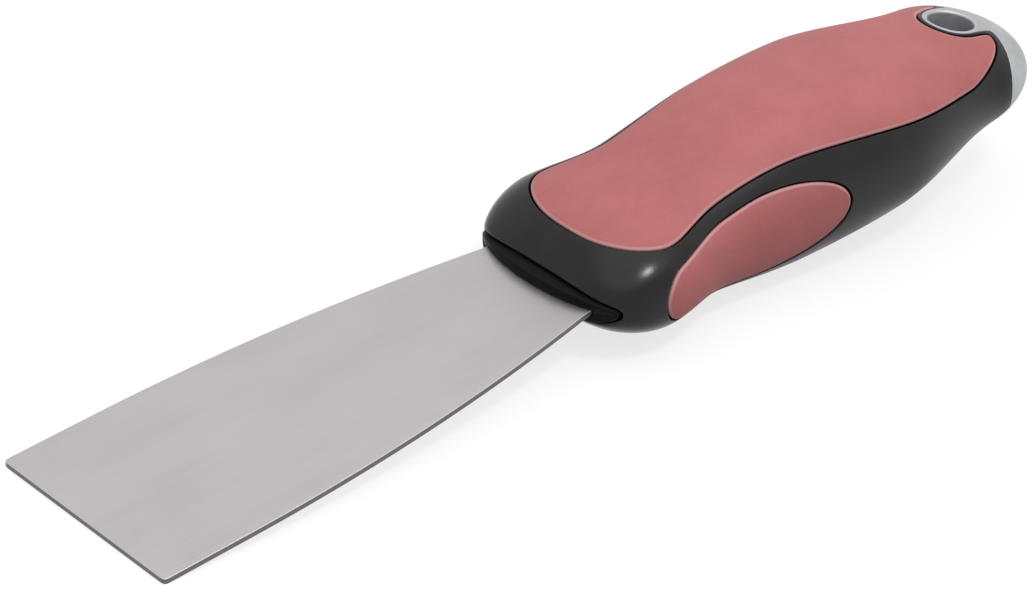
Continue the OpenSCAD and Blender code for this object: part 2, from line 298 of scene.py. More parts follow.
def pad_half(s):
    """Half the width of an upper or lower pad."""
    inset = blend(s, WAIST_AT, PAD_INSET_FRONT, PAD_TAPER_END, PAD_INSET_REAR)
    half = (half_width(s) - inset) * round_end((s - PAD_FRONT) / PAD_ROUND, PAD_POWER)
    return half * round_end((PAD_REAR - s) / PAD_ROUND_REAR, 2)


# Surfaces: each takes flat points and gives their places on one of the outsides

def handle_surface(flat):
    """The grip's outside: u runs along it from the nose, and v round it from the side to the top."""
    u, v = flat[:, 0], flat[:, 1]
    s = np.where(u < NOSE_RUN, NOSE_LEN * (1 - np.cos(u / NOSE_LEN)), u - NOSE_RUN + NOSE_LEN)
    power = section_power(s)
    cosine, sine = np.cos(v / TURN_R), np.sin(v / TURN_R)
    size = (np.abs(cosine) ** power + np.abs(sine) ** power) ** (-1 / power)
    y = half_width(s) * cosine * size
    z = np.where(s < HEEL_AT, plain_half(s) * sine * size, rear_height(s, y) * np.sign(sine))
    return np.stack([s, y, z], axis=1)


def along_handle(s):
    """The flat u of a distance from the nose."""
    front = NOSE_LEN * np.arccos(np.clip(1 - s / NOSE_LEN, -1, 1))
    return np.where(s < NOSE_LEN, front, s - NOSE_LEN + NOSE_RUN)


def on_top(plan):
    """Flat points on the grip of points given by s and y, seen from above."""
    s, y = plan[:, 0], plan[:, 1]
    power = section_power(s)
    across = np.clip(np.abs(y) / half_width(s), 0, 1)
    rise = (1 - across ** power) ** (1 / power)
    return np.stack([along_handle(s), TURN_R * np.arctan2(rise, across)], axis=1)


def on_side(plan):
    """Flat points on the grip of points given by s and z, seen from the side."""
    s, z = plan[:, 0], plan[:, 1]
    power = section_power(s)
    rise = np.clip(np.abs(z) / half_thickness(s), 0, 1)
    across = (1 - rise ** power) ** (1 / power)
    return np.stack([along_handle(s), TURN_R * np.arctan2(rise, across)], axis=1)


# Distances over the cap, from its upright axis to its rim
cap_radii = BUTT_R * np.sin(np.linspace(0, math.pi / 2, FINE))
cap_drops = np.diff(half_thickness(HEEL_AT + cap_radii))
cap_runs = np.concatenate([[0], np.cumsum(np.hypot(np.diff(cap_radii), cap_drops))])
CAP_RUN = cap_runs[-1]


def cap_surface(flat):
    """The cap's outside, spread out round its upright axis: u runs towards the butt and v to the right."""
    run = np.maximum(np.hypot(flat[:, 0], flat[:, 1]), TINY)
    r = np.interp(np.minimum(run, 2 * CAP_RUN - run), cap_runs, cap_radii)
    s, y = HEEL_AT + r * flat[:, 0] / run, -r * flat[:, 1] / run
    z = np.where(run > CAP_RUN, -1, 1) * rear_height(s, y)
    return np.stack([s, y, z], axis=1)


def on_cap(plan):
    """Flat points on the cap of points given by s and y, seen from above."""
    ahead, left = plan[:, 0] - HEEL_AT, plan[:, 1]
    r = np.maximum(np.hypot(ahead, left), TINY)
    run = np.interp(r, cap_radii, cap_runs)
    return np.stack([run * ahead / r, -run * left / r], axis=1)


def blade_surface(flat):
    """The blade's upper flat: u runs towards the butt and v to the right."""
    return np.stack([flat[:, 0], -flat[:, 1], np.full(len(flat), BLADE_T / 2)], axis=1)


def mouth_surface(flat):
    """The curved front of the core's nose: u runs to the left and v up."""
    across = flat[:, 0] / (MOUTH_BOW_W / 2)
    front = MOUTH_BOW * (1 - np.sqrt(1 - across ** 2)) - MOUTH_OUT
    return np.stack([front, flat[:, 0], flat[:, 1]], axis=1)


# Lines on surfaces

def unit(vectors):
    """The same vectors with a length of 1."""
    return vectors / np.linalg.norm(vectors, axis=1, keepdims=True)


def slopes(surface, flat):
    """How a surface runs along u and v at flat points, and its outward normals."""
    step = 1e-3
    along = (surface(flat + (step, 0)) - surface(flat - (step, 0))) / (2 * step)
    across = (surface(flat + (0, step)) - surface(flat - (0, step))) / (2 * step)
    return along, across, unit(np.cross(across, along))


def resample(points, lengths, spacing):
    """An open line again, with points evenly spaced by the given lengths between its points."""
    run = np.concatenate([[0], np.cumsum(lengths)])
    even = np.linspace(0, run[-1], max(2, round(run[-1] / spacing) + 1))
    return np.stack([np.interp(even, run, column) for column in points.T], axis=1)


def even_line(surface, flat, spacing):
    """A flat line again, with points that are evenly spaced on the surface."""
    lengths = np.linalg.norm(np.diff(surface(flat), axis=0), axis=1)
    return resample(flat, lengths, spacing)


def hold_levels(moved, line):
    """Puts the ends of a moved line back to the v that they had."""
    moved[[0, -1], 1] = line[[0, -1], 1]


def hold_cap(moved, line):
    """Puts the first end back on the cap's rim, and the last one on its centre line."""
    moved[0] *= CAP_RUN / np.hypot(*moved[0])
    moved[-1, 1] = line[-1, 1]


def hold_mouth(moved, line):
    """Puts the first end back on the middle plane, and the last one on the centre line."""
    moved[0, 1] = line[0, 1]
    moved[-1, 0] = line[-1, 0]


def shifted(surface, line, distance, centre, hold=hold_levels):
    """A line moved over a surface by a distance away from a centre, with its ends on the mirror lines."""
    along, across, normal = slopes(surface, line)
    flat_way = np.gradient(line, axis=0)
    way = unit(along * flat_way[:, :1] + across * flat_way[:, 1:])
    aside = np.cross(normal, way)
    if np.sum(aside * (surface(line) - centre)) < 0:
        aside = -aside
    uu, uv, vv = (np.sum(a * b, axis=1) for a, b in ((along, along), (along, across), (across, across)))
    u_part, v_part = np.sum(along * aside, axis=1), np.sum(across * aside, axis=1)
    scale = distance / (uu * vv - uv * uv)
    move = np.stack([(vv * u_part - uv * v_part) * scale, (uu * v_part - uv * u_part) * scale], axis=1)
    moved = line + move
    hold(moved, line)
    return moved


def soften(before, line, after, reach):
    """A line with its corners rounded over about a reach. What lies before and after it sets its ends."""
    # Spacing of the points that are averaged, and how many reaches their weights go out
    step = 0.1
    tails = 4
    parts = [resample(p, np.linalg.norm(np.diff(p, axis=0), axis=1), step) for p in (before, line, after)]
    whole = np.vstack([parts[0][:-1], parts[1], parts[2][1:]])
    size = round(tails * reach / step)
    weights = np.exp(-0.5 * (np.arange(-size, size + 1) * step / reach) ** 2)
    weights /= weights.sum()
    smooth = np.stack([np.convolve(column, weights, mode="same") for column in whole.T], axis=1)
    first = len(parts[0]) - 1
    return smooth[first:first + len(parts[1])]


def soften_half(line, reach):
    """Half of a mirror-symmetric outline with rounded corners, where both ends lie on the mirror line."""
    mirrored = line[::-1] * (1, -1)
    smooth = soften(mirrored, line, mirrored, reach)
    smooth[[0, -1], 1] = 0
    return smooth


def arc(centre, radius, start, end):
    """Points of an arc round a centre on the centre line, from one angle to another."""
    angles = np.linspace(start, end, FINE)
    return np.stack([centre + radius * np.cos(angles), radius * np.sin(angles)], axis=1)


def crossing(centre_a, radius_a, centre_b, radius_b):
    """Where two circles with centres on the centre line cross, on the left."""
    gap = centre_b - centre_a
    along = (gap ** 2 + radius_a ** 2 - radius_b ** 2) / (2 * gap)
    return np.array([centre_a + along, math.sqrt(radius_a ** 2 - along ** 2)])


def angle_from(centre, point):
    """Angle of a point seen from a centre on the centre line."""
    return math.atan2(point[1], point[0] - centre)


def beside_eye(radius, joint_r):
    """Left edge of the eye and its neck, grown to a radius, from a joint circle to the eye's front."""
    meet = CAP_ARC_AT + math.sqrt(joint_r ** 2 - radius ** 2)
    return np.vstack([[[meet, radius]], arc(HOLE_AT, radius, math.pi / 2, math.pi)])


def upper_outline():
    """Left half of the upper pad's outline, seen from above, from its front to the eye."""
    rim_r = CAP_ARC_R - CAP_RIM
    s = PAD_FRONT + (PAD_REAR - PAD_FRONT) * (1 - np.cos(np.linspace(0, math.pi, FINE))) / 2
    edge = np.stack([s, pad_half(s)], axis=1)
    past_rim = (s > CAP_ARC_AT) & (np.hypot(s - CAP_ARC_AT, edge[:, 1]) > rim_r)
    edge = edge[:np.argmax(past_rim)]
    eye = beside_eye(EYE_R + EYE_RIM, rim_r)
    rear = arc(CAP_ARC_AT, rim_r, angle_from(CAP_ARC_AT, edge[-1]), angle_from(CAP_ARC_AT, eye[0]))
    return soften_half(np.vstack([edge, rear[1:], eye[1:]]), PAD_SOFTEN)


def side_outline():
    """Upper half of a side pad's outline, seen from the side, from its front to its tail."""
    angles = np.linspace(math.pi, 0, FINE)
    way = np.stack([np.cos(angles), np.sin(angles)], axis=1)
    front_r = SIDE_FRONT_H / 2
    front_at = SIDE_FRONT + front_r
    leaf = np.array([SIDE_TAIL, SIDE_H / 2])
    leaf_at = SIDE_FRONT + SIDE_LEN - SIDE_TAIL
    leaf_reach = np.hypot(*(way * leaf).T)
    front = np.array([front_at, 0]) + front_r * way
    tail = np.array([leaf_at, 0]) + way * leaf ** 2 / leaf_reach[:, None]
    further = front_at * way[:, 0] + front_r > leaf_at * way[:, 0] + leaf_reach
    return soften_half(np.where(further[:, None], front, tail), SIDE_SOFTEN)


def joint_outline(back):
    """Left half of the joint between shell and cap, seen from above, moved towards the nose by a gap."""
    joint_r = CAP_ARC_R - back
    side = crossing(CAP_ARC_AT, joint_r, HEEL_AT, BUTT_R)
    eye = beside_eye(EYE_R + back, joint_r)
    rear = arc(CAP_ARC_AT, joint_r, angle_from(CAP_ARC_AT, side), angle_from(CAP_ARC_AT, eye[0]))
    line = np.vstack([rear, eye[1:]])
    smooth = soften(2 * line[0] - line[::-1], line, line[::-1] * (1, -1), JOINT_SOFTEN)
    smooth[0] = side
    smooth[-1, 1] = 0
    return smooth


def mouth_line(grow):
    """The line on the grip where the mouth's slot opens, from the side to the top."""
    v = np.linspace(0, TOP, FINE)
    inner, outer = np.zeros_like(v), np.full_like(v, NOSE_RUN)
    for _ in range(HALVINGS):
        middle = (inner + outer) / 2
        place = handle_surface(np.stack([middle, v], axis=1))
        across, rise = place[:, 1] / (MOUTH_W / 2 + grow), place[:, 2] / (MOUTH_T / 2 + grow)
        outside = across ** MOUTH_POWER + rise ** MOUTH_POWER > 1
        outer = np.where(outside, middle, outer)
        inner = np.where(outside, inner, middle)
    return np.stack([outer, v], axis=1)


# Meshes: a shape is put together from skins over flat outlines and from strips between rows of points

def straight(start, end, spacing):
    """Points on a straight flat line."""
    return resample(np.array([start, end]), [math.dist(start, end)], spacing)


def joined(*lines):
    """One closed flat outline of lines that follow each other."""
    return np.vstack([line[:-1] for line in lines])


def inside(points, loop):
    """Which flat points lie inside a closed outline."""
    odd = np.zeros(len(points), bool)
    for a, b in zip(loop, np.roll(loop, -1, axis=0)):
        spans = (a[1] > points[:, 1]) != (b[1] > points[:, 1])
        if spans.any():
            cut = a[0] + (points[spans, 1] - a[1]) * (b[0] - a[0]) / (b[1] - a[1])
            odd[spans] ^= points[spans, 0] < cut
    return odd


def fill(loop, spacing):
    """Flat points and triangles that cover the inside of a closed outline."""
    # How far inner points stay from the outline, how close points are one, and the mode for the inside only
    margin = 0.6 * spacing
    merge = 1e-7
    inner_triangles = 1
    low, high = loop.min(0), loop.max(0)
    rise = spacing * math.sqrt(0.75)
    rows = np.arange(low[1] + rise / 2, high[1], rise)
    columns = np.arange(low[0], high[0], spacing)
    u = columns[None, :] + spacing / 2 * (np.arange(len(rows)) % 2)[:, None]
    grid = np.stack([u.ravel(), np.repeat(rows, len(columns))], axis=1)
    grid = grid[inside(grid, loop)]
    clear = np.full(len(grid), np.inf)
    for point in loop:
        clear = np.minimum(clear, np.hypot(*(grid - point).T))
    flat = np.vstack([loop, grid[clear > margin]])
    around = [(i, (i + 1) % len(loop)) for i in range(len(loop))]
    places = [Vector(point) for point in flat]
    _, _, triangles, origins, _, _ = delaunay_2d_cdt(places, around, [], inner_triangles, merge)
    first = [origin[0] for origin in origins]
    return flat, [[first[i] for i in triangle] for triangle in triangles]


class Shape:
    """A mesh in the making, with an edge value that is 1 on rounded edges and 0 elsewhere."""

    def __init__(self):
        self.points = np.zeros((0, 3))
        self.edges = np.zeros(0)
        self.faces = []

    def add(self, points, faces, edges):
        """Takes in points with their edge values, and faces that number these points from 0."""
        first = len(self.points)
        self.points = np.vstack([self.points, points])
        self.edges = np.concatenate([self.edges, edges])
        self.faces += [[first + i for i in face] for face in faces]

    def skin(self, surface, loop, spacing, depth=0.0):
        """Covers the inside of a flat outline on a surface, or at a depth below it."""
        flat, triangles = fill(loop, spacing)
        points = surface(flat)
        if depth:
            points = points - depth * slopes(surface, flat)[2]
        self.add(points, triangles, np.zeros(len(points)))

    def strip(self, rows, edges=None):
        """Joins rows of points that have as many points each."""
        count = len(rows[0])
        faces = []
        for row in range(len(rows) - 1):
            for i in range(count - 1):
                near, far = row * count + i, (row + 1) * count + i
                faces.append([near, near + 1, far + 1, far])
        values = np.zeros(len(rows)) if edges is None else np.array(edges)
        self.add(np.vstack(rows), faces, np.repeat(values, count))

    def rim(self, surface, line, centre, radius, face=None, end=None, hold=hold_levels):
        """Rounds the edge along a line, down to a wall, and gives the flat line where the skin starts.

        A radius above 0 has the skin on the far side of the line from the centre, and one below 0 has it on
        the near side. The wall runs straight in, or along a face with the given normals. It ends at a depth
        or at given places, and otherwise at the middle plane.
        """
        skin_line = shifted(surface, line, radius, centre, hold)
        start, corner = surface(skin_line), surface(line)
        inward = -slopes(surface, line)[2]
        if face is not None:
            inward = unit(inward - np.sum(inward * face, axis=1, keepdims=True) * face)
        low = corner + abs(radius) * inward
        if end is None:
            last = low * (1, 1, 0)
        elif np.isscalar(end):
            last = corner + end * inward
        else:
            last = end
        rows, edges = [], []
        for t in np.linspace(0, 1, EDGE_STEPS + 1):
            rows.append((1 - t) ** 2 * start + 2 * t * (1 - t) * corner + t * t * low)
            edges.append(math.sin(math.pi * t))
        self.strip(rows + [last], edges + [0])
        return skin_line

    def build(self, name, mirrors, flip=None):
        """Makes the object, with a copy mirrored in each given axis, and flips it in another if asked."""
        points, faces, edges = self.points.copy(), list(self.faces), self.edges
        # Points close to a mirror plane are put on it
        level = points[:, 1:]
        level[np.abs(level) < SNAP] = 0
        for axis in mirrors:
            turned = points.copy()
            turned[:, axis] *= -1
            faces += [[len(points) + i for i in face] for face in faces]
            points = np.vstack([points, turned])
            edges = np.concatenate([edges, edges])
        if flip is not None:
            points[:, flip] *= -1
        return make_object(name, points, faces, edges)


def add_object(name, data):
    """A new object in the scene."""
    added = bpy.data.objects.new(name, data)
    bpy.context.scene.collection.objects.link(added)
    return added


def make_object(name, points, faces, edges=None):
    """A closed smooth mesh object from points in the handle's frame."""
    shell = bmesh.new()
    layer = shell.verts.layers.float.new("edge")
    values = np.zeros(len(points)) if edges is None else edges
    corners = []
    for point, value in zip((points + (NOSE_X, 0, MID_Z)) * MM, values):
        corner = shell.verts.new(point)
        corner[layer] = value
        corners.append(corner)
    for face in faces:
        shell.faces.new([corners[i] for i in face])
    bmesh.ops.remove_doubles(shell, verts=shell.verts, dist=WELD * MM)
    bmesh.ops.recalc_face_normals(shell, faces=shell.faces)
    mesh = bpy.data.meshes.new(name)
    shell.to_mesh(mesh)
    shell.free()
    mesh.shade_smooth()
    return add_object(name, mesh)


def combine(piece, tool, operation):
    """Joins a tool to a piece, or cuts it out, and removes the tool."""
    change = piece.modifiers.new("combine", "BOOLEAN")
    change.operation = operation
    change.solver = "EXACT"
    change.object = tool
    result = bpy.data.meshes.new_from_object(piece.evaluated_get(bpy.context.evaluated_depsgraph_get()))
    piece.modifiers.clear()
    piece.data = result
    bpy.data.objects.remove(tool)


def block(low, high):
    """A plain block, used to cut."""
    corners = [(x, y, z) for x in (low[0], high[0]) for y in (low[1], high[1]) for z in (low[2], high[2])]
    faces = [(0, 1, 3, 2), (4, 6, 7, 5), (0, 4, 5, 1), (2, 3, 7, 6), (0, 2, 6, 4), (1, 5, 7, 3)]
    return make_object("tool", np.array(corners), faces)


def post(s, radius, low, high, sides=48):
    """An upright round post on the centre line, used to cut."""
    angles = 2 * math.pi * np.arange(sides) / sides
    ring = np.stack([s + radius * np.cos(angles), radius * np.sin(angles), np.zeros(sides)], axis=1)
    walls = [[i, (i + 1) % sides, sides + (i + 1) % sides, sides + i] for i in range(sides)]
    ends = [list(range(sides)), list(range(sides, 2 * sides))]
    return make_object("tool", np.vstack([ring + (0, 0, low), ring + (0, 0, high)]), walls + ends)


def inner_body(inset, start, end, sides=96, steps=60):
    """The handle's body between two places, made narrower and thinner by an inset."""
    angles = 2 * math.pi * np.arange(sides) / sides
    cosine, sine = np.cos(angles), np.sin(angles)
    rows = []
    for s in np.linspace(start, end, steps + 1):
        power = section_power(s)
        size = (np.abs(cosine) ** power + np.abs(sine) ** power) ** (-1 / power)
        y = (half_width(s) - inset) * cosine * size
        z = (half_thickness(s) - inset) * sine * size
        rows.append(np.stack([np.full(sides, s), y, z], axis=1))
    faces = [list(range(sides)), list(range(steps * sides, (steps + 1) * sides))]
    for row in range(steps):
        for i in range(sides):
            near, beside = row * sides + i, row * sides + (i + 1) % sides
            faces.append([near, beside, beside + sides, near + sides])
    return make_object("tool", np.vstack(rows), faces)


# Pieces

PAD_CENTRE = np.array([(PAD_FRONT + HEEL_AT) / 2, 0, BELLY_T / 2])
SIDE_CENTRE = np.array([SIDE_FRONT + SIDE_LEN / 2, PALM_W / 2, 0])
JOINT_CENTRE = np.array([CAP_ARC_AT, 0, 0])
HOLE_CENTRE = np.array([HOLE_AT, 0, 0])
NOSE_CENTRE = np.zeros(3)

upper_line = even_line(handle_surface, on_top(upper_outline()), SKIN)
side_line = even_line(handle_surface, on_side(side_outline()), SKIN)


def plan_normals(places):
    """Level normals of the upright wall under a line of places."""
    way = np.gradient(places, axis=0)
    way[[0, -1]] = way[[1, -2]]
    way[np.abs(places[:, 1]) < SNAP, 0] = 0
    return unit(np.stack([way[:, 1], -way[:, 0], np.zeros(len(way))], axis=1))


def slot_normals(places):
    """Normals of the mouth's oval slot at places on it."""
    across = (places[:, 1] / MOUTH_W) ** (MOUTH_POWER - 1) / MOUTH_W
    rise = (places[:, 2] / MOUTH_T) ** (MOUTH_POWER - 1) / MOUTH_T
    return unit(np.stack([np.zeros(len(places)), across, rise], axis=1))


def closed(line, spacing):
    """A closed flat outline of a line and the straight way back to its start."""
    return joined(line, straight(line[-1], line[0], spacing))


def make_shell():
    """The black moulding: its outside, pockets for the pads, the mouth, the joint and the space inside."""
    shape = Shape()
    pocket = PAD_T + FIT
    upper_wall = shifted(handle_surface, upper_line, PAD_GROOVE, PAD_CENTRE)
    side_wall = shifted(handle_surface, side_line, PAD_GROOVE, SIDE_CENTRE)
    upper_skin = shape.rim(handle_surface, upper_wall, PAD_CENTRE, SHELL_EDGE, end=pocket)
    side_skin = shape.rim(handle_surface, side_wall, SIDE_CENTRE, SHELL_EDGE, end=pocket)
    shape.skin(handle_surface, closed(upper_wall, SKIN), PLATE, pocket)
    shape.skin(handle_surface, closed(side_wall, SKIN), PLATE, pocket)

    mouth = even_line(handle_surface, mouth_line(MOUTH_GAP), SKIN / 2)
    places = handle_surface(mouth)
    mouth_end = places * (0, 1, 1) + (CORE_FRONT + OVERLAP, 0, 0)
    mouth_skin = shape.rim(handle_surface, mouth, NOSE_CENTRE, MOUTH_EDGE, slot_normals(places), mouth_end)
    shape.strip([mouth_end, mouth_end * (1, 1, 0)])

    joint = even_line(handle_surface, on_top(joint_outline(FIT)), SKIN / 2)
    joint_face = plan_normals(handle_surface(joint))
    joint_skin = shape.rim(handle_surface, joint, JOINT_CENTRE, -JOINT_EDGE, joint_face)

    shape.skin(handle_surface, joined(
        straight(mouth_skin[0], side_skin[0], SKIN),
        side_skin,
        straight(side_skin[-1], joint_skin[0], SKIN),
        joint_skin,
        straight(joint_skin[-1], upper_skin[-1], SKIN),
        upper_skin[::-1],
        straight(upper_skin[0], mouth_skin[-1], SKIN),
        mouth_skin[::-1],
    ), SKIN)
    shell = shape.build("shell_moulding", (ACROSS, UP))
    combine(shell, inner_body(SHELL_WALL, CORE_FRONT, CORE_REAR + FIT), "DIFFERENCE")
    combine(shell, fork_block(FIT), "DIFFERENCE")
    return shell


def fork_block(grow):
    """The block of the fork in front of the eye, grown by a margin."""
    half_w, half_t = FORK_W / 2 + grow, FORK_T / 2 + grow
    return block((FORK_FRONT - grow, -half_w, -half_t), (HOLE_AT - HOLE_R - OVERLAP, half_w, half_t))


def make_pad(name, line, centre, mirror, flip=None):
    """A soft pad with rolled edges, in its pocket."""
    shape = Shape()
    skin_line = shape.rim(handle_surface, line, centre, -PAD_EDGE, end=PAD_T)
    shape.skin(handle_surface, closed(skin_line, SKIN), SKIN)
    shape.skin(handle_surface, closed(line, SKIN), PLATE, PAD_T)
    return shape.build(name, (mirror,), flip)


def make_cap():
    """The metal cap: the round butt, the eye around the hang hole and the fork for the tang."""
    shape = Shape()
    joint = even_line(cap_surface, on_cap(joint_outline(0)), SKIN / 2)
    joint_face = plan_normals(cap_surface(joint))
    joint_skin = shape.rim(cap_surface, joint, JOINT_CENTRE, JOINT_EDGE, joint_face, hold=hold_cap)
    bore = even_line(cap_surface, on_cap(arc(HOLE_AT, HOLE_R, 0, math.pi)), SKIN / 2)
    bore_face = plan_normals(cap_surface(bore))
    bore_skin = shape.rim(cap_surface, bore, HOLE_CENTRE, HOLE_EDGE, bore_face)
    equator = even_line(cap_surface, arc(0, CAP_RUN, 0, angle_from(0, joint_skin[0])), SKIN / 2)
    shape.skin(cap_surface, joined(
        straight(bore_skin[0], equator[0], SKIN),
        equator,
        joint_skin,
        straight(joint_skin[-1], bore_skin[-1], SKIN / 2),
        bore_skin[::-1],
    ), SKIN)
    cap = shape.build("cap_casting", (ACROSS, UP))
    combine(cap, fork_block(0), "UNION")
    slot = BLADE_T / 2 + FIT
    combine(cap, block((FORK_FRONT - OVERLAP, -FORK_W, -slot), (TANG_END + FIT, FORK_W, slot)), "DIFFERENCE")
    combine(cap, post(PIN_AT, PIN_D / 2 + FIT, -FORK_T, FORK_T), "DIFFERENCE")
    return cap


def blade_outline():
    """Left half of the blade's outline, seen from above, from the working edge to the tang's end."""
    run = BLADE_LEN - BLADE_LAND
    drop = (BLADE_W - NECK_W) / 2
    radius = (run * run + drop * drop) / (2 * drop)
    s = np.linspace(-run, 0, FINE)
    side = np.stack([s, BLADE_W / 2 - radius + np.sqrt(radius ** 2 - (s + run) ** 2)], axis=1)
    before = np.array([[-BLADE_LEN, 0], [-BLADE_LEN, BLADE_W / 2]])
    after = np.array([[NECK_LEN, NECK_W / 2], [NECK_LEN, TANG_W / 2], [TANG_END, TANG_W / 2], [TANG_END, 0]])
    return soften_half(np.vstack([before, side, after]), TIP_SOFTEN)


def make_blade():
    """The steel blade and its tang in one piece, with broken edges and its drilled holes."""
    shape = Shape()
    line = even_line(blade_surface, blade_outline() * (1, -1), SKIN / 2)
    skin_line = shape.rim(blade_surface, line, NOSE_CENTRE, -BLADE_EDGE)
    shape.skin(blade_surface, closed(skin_line, PLATE), PLATE)
    blade = shape.build("blade_plate", (ACROSS, UP))
    for s in RIVETS_AT:
        combine(blade, post(s, RIVET_D / 2 + FIT, -BLADE_T, BLADE_T), "DIFFERENCE")
    combine(blade, post(PIN_AT, PIN_D / 2 + FIT, -BLADE_T, BLADE_T), "DIFFERENCE")
    return blade


def make_core():
    """The hard core's two halves, with the rounded nose that fills the mouth."""
    shape = Shape()
    way = arc(0, 1, 0, math.pi / 2)
    outline = np.clip(way, 0, None) ** (2 / MOUTH_POWER) * (MOUTH_W / 2, MOUTH_T / 2)
    line = even_line(mouth_surface, outline, SKIN / 2)
    places = mouth_surface(line)
    back = places * (0, 1, 1) + (CORE_FRONT + OVERLAP, 0, 0)
    walls = slot_normals(places)
    nose_skin = shape.rim(mouth_surface, line, NOSE_CENTRE, -CORE_EDGE, walls, back, hold_mouth)
    shape.strip([back, back * (1, 1, 0)])
    shape.skin(mouth_surface, joined(
        straight((0, 0), nose_skin[0], SKIN),
        nose_skin,
        straight(nose_skin[-1], (0, 0), SKIN),
    ), SKIN)
    core = shape.build("core_top", (ACROSS, UP))
    combine(core, inner_body(SHELL_WALL + FIT, CORE_FRONT, CORE_REAR), "UNION")
    slot = BLADE_T / 2 + FIT
    front = -MOUTH_OUT - OVERLAP
    neck_half, tang_half = NECK_W / 2 + FIT, TANG_W / 2 + FIT
    combine(core, block((front, -neck_half, -slot), (NECK_LEN + FIT, neck_half, slot)), "DIFFERENCE")
    combine(core, block((NECK_LEN, -tang_half, -slot), (TANG_END + FIT, tang_half, slot)), "DIFFERENCE")
    combine(core, fork_block(FIT), "DIFFERENCE")
    for s in RIVETS_AT:
        combine(core, post(s, RIVET_D / 2 + FIT, -BELLY_T, BELLY_T), "DIFFERENCE")
        seat = half_thickness(s) - SHELL_WALL - FIT - RIVET_SINK - RIVET_HEAD_T - FIT
        combine(core, post(s, RIVET_HEAD_D / 2 + FIT, seat, BELLY_T), "DIFFERENCE")
        combine(core, post(s, RIVET_HEAD_D / 2 + FIT, -BELLY_T, -seat), "DIFFERENCE")
    other = add_object("core_bottom", core.data.copy())
    reach = HANDLE_LEN
    combine(core, block((-reach, -reach, FIT / 2), (reach, reach, reach)), "INTERSECT")
    combine(other, block((-reach, -reach, -reach), (reach, reach, -FIT / 2)), "INTERSECT")
    return core, other


# Finishes

class Finish:
    """A procedural material on one Principled shader. What is the same all over is given at the start."""

    def __init__(self, name, **fixed):
        self.material = bpy.data.materials.new(name)
        self.material.use_nodes = True
        self.tree = self.material.node_tree
        self.shader = self.tree.nodes["Principled BSDF"]
        self.place = self.tree.nodes.new("ShaderNodeTexCoord").outputs["Object"]
        for socket, value in fixed.items():
            self.shader.inputs[socket.replace("_", " ")].default_value = value

    def link(self, output, socket):
        """Joins an output, or sets a plain value."""
        if isinstance(output, bpy.types.NodeSocket):
            self.tree.links.new(output, socket)
        else:
            socket.default_value = output

    def noise(self, grain, detail=3.0, roughness=0.55):
        """Cloudy variation from 0 to 1, with grains of the given sizes in millimetres along x, y and z."""
        mapping = self.tree.nodes.new("ShaderNodeMapping")
        self.tree.links.new(self.place, mapping.inputs["Vector"])
        mapping.inputs["Scale"].default_value = [1 / (size * MM) for size in grain]
        texture = self.tree.nodes.new("ShaderNodeTexNoise")
        self.tree.links.new(mapping.outputs["Vector"], texture.inputs["Vector"])
        texture.inputs["Scale"].default_value = 1.0
        texture.inputs["Detail"].default_value = detail
        texture.inputs["Roughness"].default_value = roughness
        return texture.outputs["Fac"]

    def spread(self, value, low, high, start=0.35, end=0.65):
        """A value from start to end turned into one from low to high."""
        turn = self.tree.nodes.new("ShaderNodeMapRange")
        self.link(value, turn.inputs["Value"])
        turn.inputs["From Min"].default_value = start
        turn.inputs["From Max"].default_value = end
        self.link(low, turn.inputs["To Min"])
        self.link(high, turn.inputs["To Max"])
        return turn.outputs["Result"]

    def math(self, operation, a, b=0.0):
        """One operation on two values, or on the first alone."""
        step = self.tree.nodes.new("ShaderNodeMath")
        step.operation = operation
        self.link(a, step.inputs[0])
        self.link(b, step.inputs[1])
        return step.outputs["Value"]

    def mix(self, share, a, b):
        """A colour between two colours."""
        step = self.tree.nodes.new("ShaderNodeMix")
        step.data_type = "RGBA"
        self.link(share, step.inputs["Factor"])
        self.link(a, next(i for i in step.inputs if i.name == "A" and i.type == "RGBA"))
        self.link(b, next(i for i in step.inputs if i.name == "B" and i.type == "RGBA"))
        return next(o for o in step.outputs if o.type == "RGBA")

    def edge(self, share):
        """The given share on the rounded edges of a piece, and 0 elsewhere."""
        attribute = self.tree.nodes.new("ShaderNodeAttribute")
        attribute.attribute_name = "edge"
        return self.math("MULTIPLY", attribute.outputs["Fac"], share)

    def flatness(self):
        """1 on faces that look up or down and 0 on upright ones."""
        split = self.tree.nodes.new("ShaderNodeSeparateXYZ")
        facing = self.tree.nodes.new("ShaderNodeTexCoord").outputs["Normal"]
        self.tree.links.new(facing, split.inputs["Vector"])
        return self.math("ABSOLUTE", split.outputs["Z"])

    def axis(self, name):
        """A coordinate of the part's frame, in metres."""
        split = self.tree.nodes.new("ShaderNodeSeparateXYZ")
        self.tree.links.new(self.place, split.inputs["Vector"])
        return split.outputs[name]

    def bump(self, height, depth, strength=1.0, under=None):
        """A relief of a height from 0 to 1, with a depth in millimetres, on top of another relief."""
        relief = self.tree.nodes.new("ShaderNodeBump")
        relief.inputs["Strength"].default_value = strength
        relief.inputs["Distance"].default_value = depth * MM
        self.tree.links.new(height, relief.inputs["Height"])
        if under is not None:
            self.tree.links.new(under, relief.inputs["Normal"])
        return relief.outputs["Normal"]

    def set(self, **outputs):
        """Joins outputs to the shader's sockets."""
        for socket, output in outputs.items():
            self.link(output, self.shader.inputs[socket.replace("_", " ")])


def rgba(r, g, b):
    """A linear colour with full cover."""
    return (r, g, b, 1.0)


